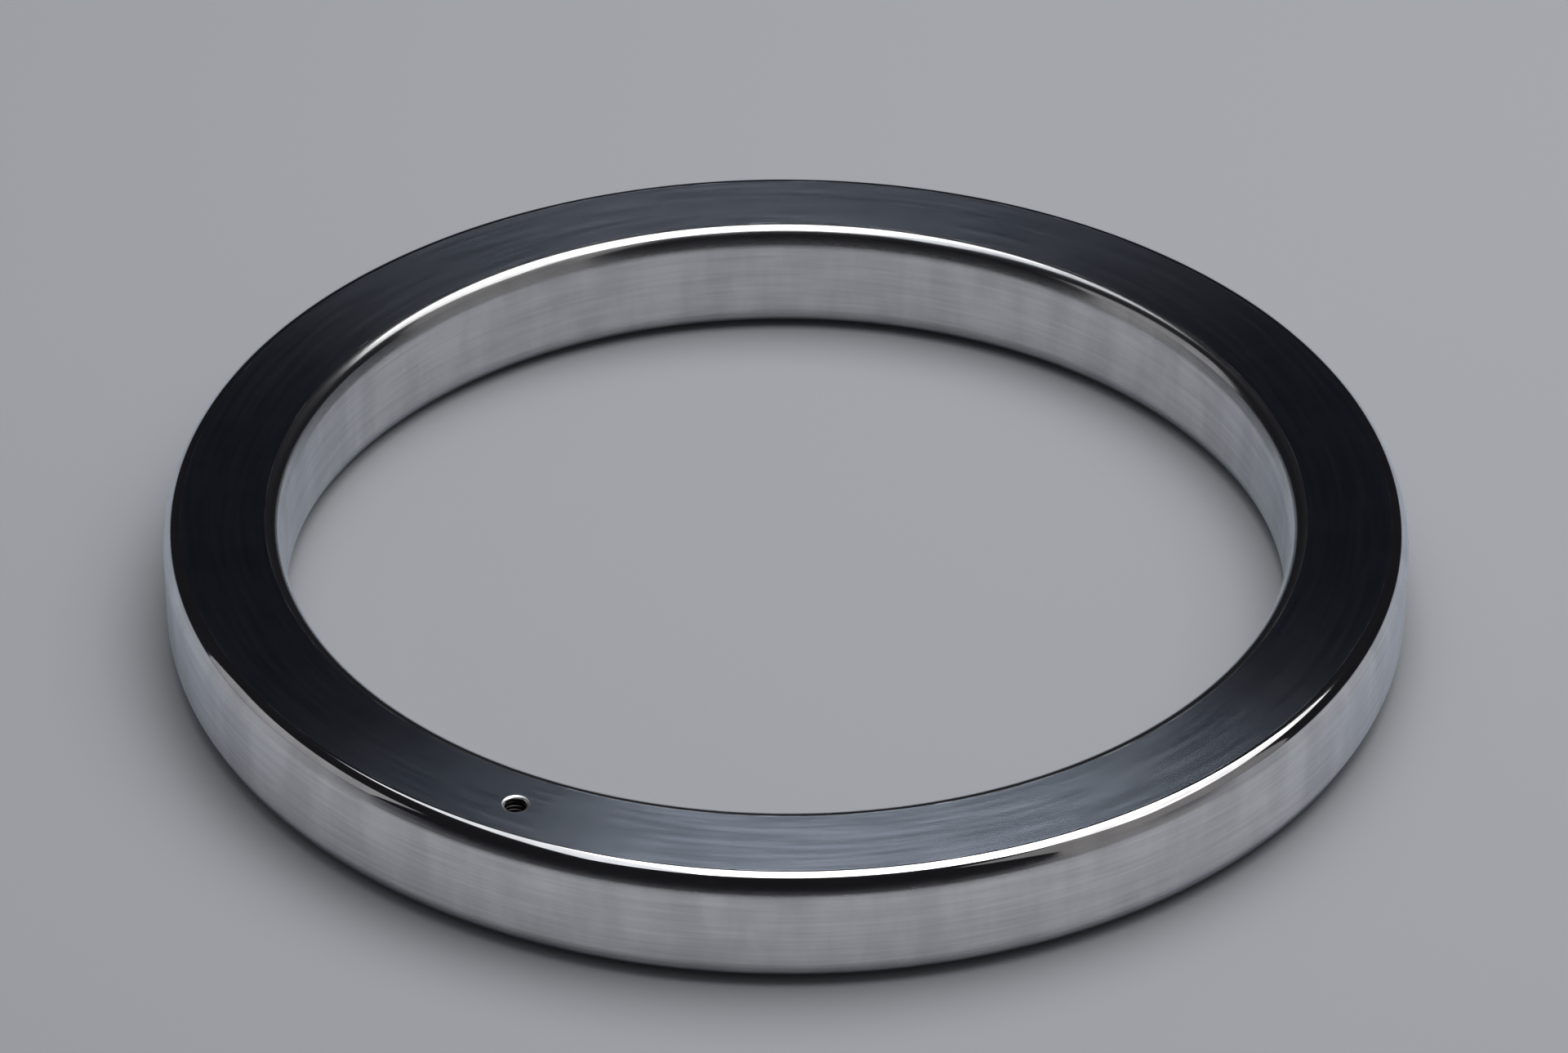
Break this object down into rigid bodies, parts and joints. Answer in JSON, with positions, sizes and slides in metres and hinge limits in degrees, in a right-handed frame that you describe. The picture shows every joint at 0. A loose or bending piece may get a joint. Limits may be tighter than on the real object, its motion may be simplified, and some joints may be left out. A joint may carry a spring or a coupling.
{
  "type": "ring joint gasket",
  "caption": "Turned steel ring joint gasket of square section, with bevelled sealing corners and a small tapped hole through its width.",
  "frame": {"origin": "on the ring's axis, at the level of its underside", "axes": "+Z along the ring's axis, out of its top flat; +X from the axis through the small tapped hole"},
  "size_m": [0.148, 0.148, 0.0142],
  "materials": {
    "steel": "turned stainless steel: satin flats and lands with a circular lay, polished sealing shoulders"
  },
  "bodies": {
    "root": {"seal_ring": "steel"}
  },
  "joints": []
}
